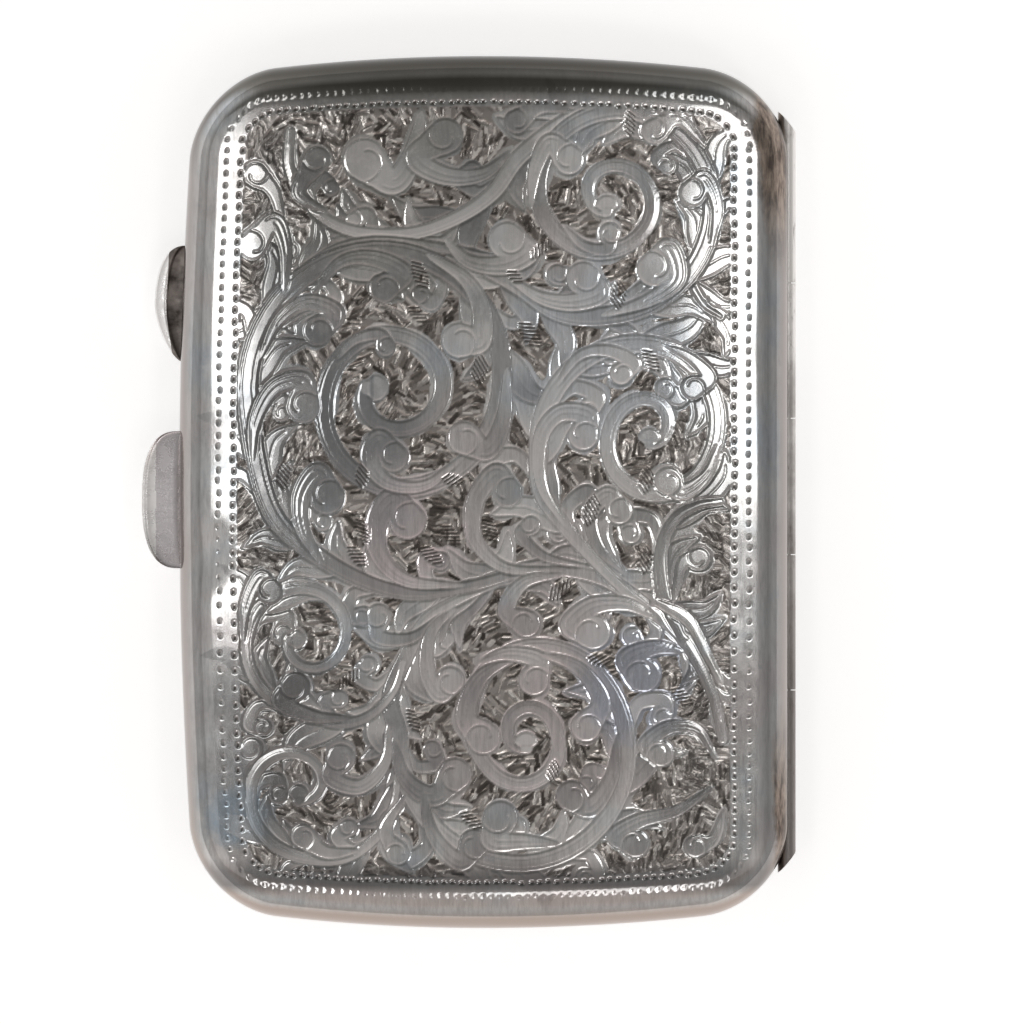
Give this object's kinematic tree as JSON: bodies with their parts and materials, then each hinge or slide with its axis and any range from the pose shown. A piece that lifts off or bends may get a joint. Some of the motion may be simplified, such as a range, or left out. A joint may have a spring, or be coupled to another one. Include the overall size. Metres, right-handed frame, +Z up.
{
  "type": "pocket card case",
  "caption": "Hip-curved pocket card case of two engraved sheet-silver shells on a tube hinge, with thumb pieces and an elastic strap inside.",
  "frame": {"origin": "under the middle of the whole closed case, on the surface it lies on", "axes": "+X across the case from the opening side to the hinge, +Y along the hinge, +Z up through the engraved lid"},
  "size_m": [0.0692, 0.092, 0.0117],
  "materials": {
    "silver": "worn polished sterling silver with fine scratches",
    "engraved_silver": "hand-engraved sterling silver, worn bright on the scrolls and toned in the cuts",
    "hinge_silver": "worn, lightly toned silver tube",
    "gilt_silver": "silver with a worn gilt wash",
    "elastic_webbing": "woven brown elastic"
  },
  "bodies": {
    "base": {"base_shell": "silver", "base_bezel": "gilt_silver", "snap_pips": "silver", "base_hinge_bearer": "gilt_silver", "hinge_knuckle_1": "hinge_silver", "hinge_knuckle_3": "hinge_silver", "hinge_knuckle_5": "hinge_silver", "hinge_pin": "hinge_silver", "hinge_plug_top": "hinge_silver", "hinge_plug_bottom": "hinge_silver", "base_thumb_piece": "silver", "card_strap": "elastic_webbing", "strap_clip_hinge_side": "gilt_silver", "strap_clip_opening_side": "gilt_silver"},
    "lid": {"lid_shell": "engraved_silver", "lid_hinge_bearer": "gilt_silver", "hinge_knuckle_2": "hinge_silver", "hinge_knuckle_4": "hinge_silver", "lid_thumb_piece": "silver"}
  },
  "joints": [
    {"name": "lid_hinge", "type": "hinge", "parent": "base", "child": "lid", "pos_m": [0.03362, 0, 0.00361], "axis": [0, 1, 0], "range_deg": [0, 155]}
  ]
}
